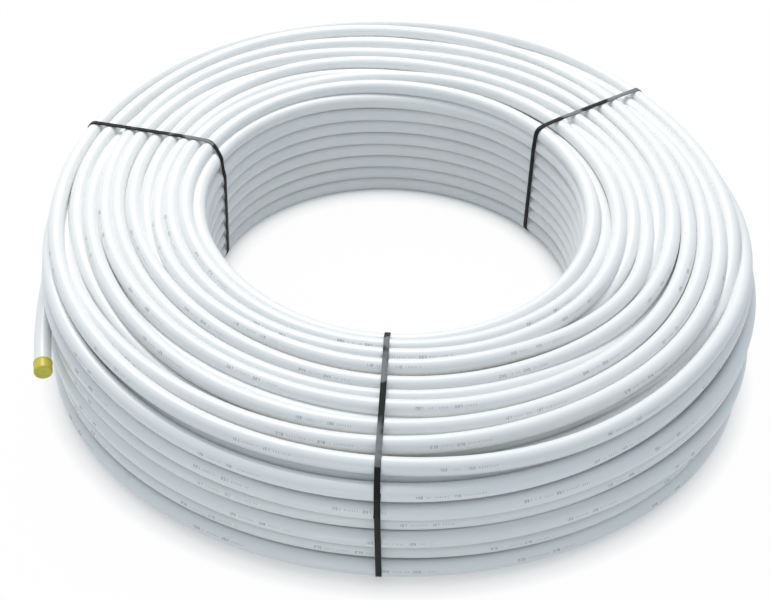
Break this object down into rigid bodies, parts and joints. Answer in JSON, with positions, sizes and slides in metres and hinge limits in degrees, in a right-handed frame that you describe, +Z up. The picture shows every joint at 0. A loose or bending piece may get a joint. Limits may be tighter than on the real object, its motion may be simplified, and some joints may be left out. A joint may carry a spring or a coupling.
{
  "type": "coil of multilayer pipe",
  "caption": "Coil of white multilayer pipe lying flat, tied with narrow black straps, its free end closed by a yellow push-on cap.",
  "frame": {"origin": "on the floor, in the middle of the bore", "axes": "+Z up along the axis of the coil; -Y towards the strap that lies opposite the other two; -X towards the side where the free end leaves"},
  "size_m": [0.7311, 0.7329, 0.146],
  "materials": {
    "pipe": "satin white polyethylene outer layer",
    "cap": "smooth soft yellow polyethylene",
    "strap": "smooth black polypropylene band"
  },
  "bodies": {
    "root": {"pipe_coil": "pipe", "end_cap": "cap", "strap_front": "strap", "strap_left": "strap", "strap_right": "strap"}
  },
  "joints": []
}
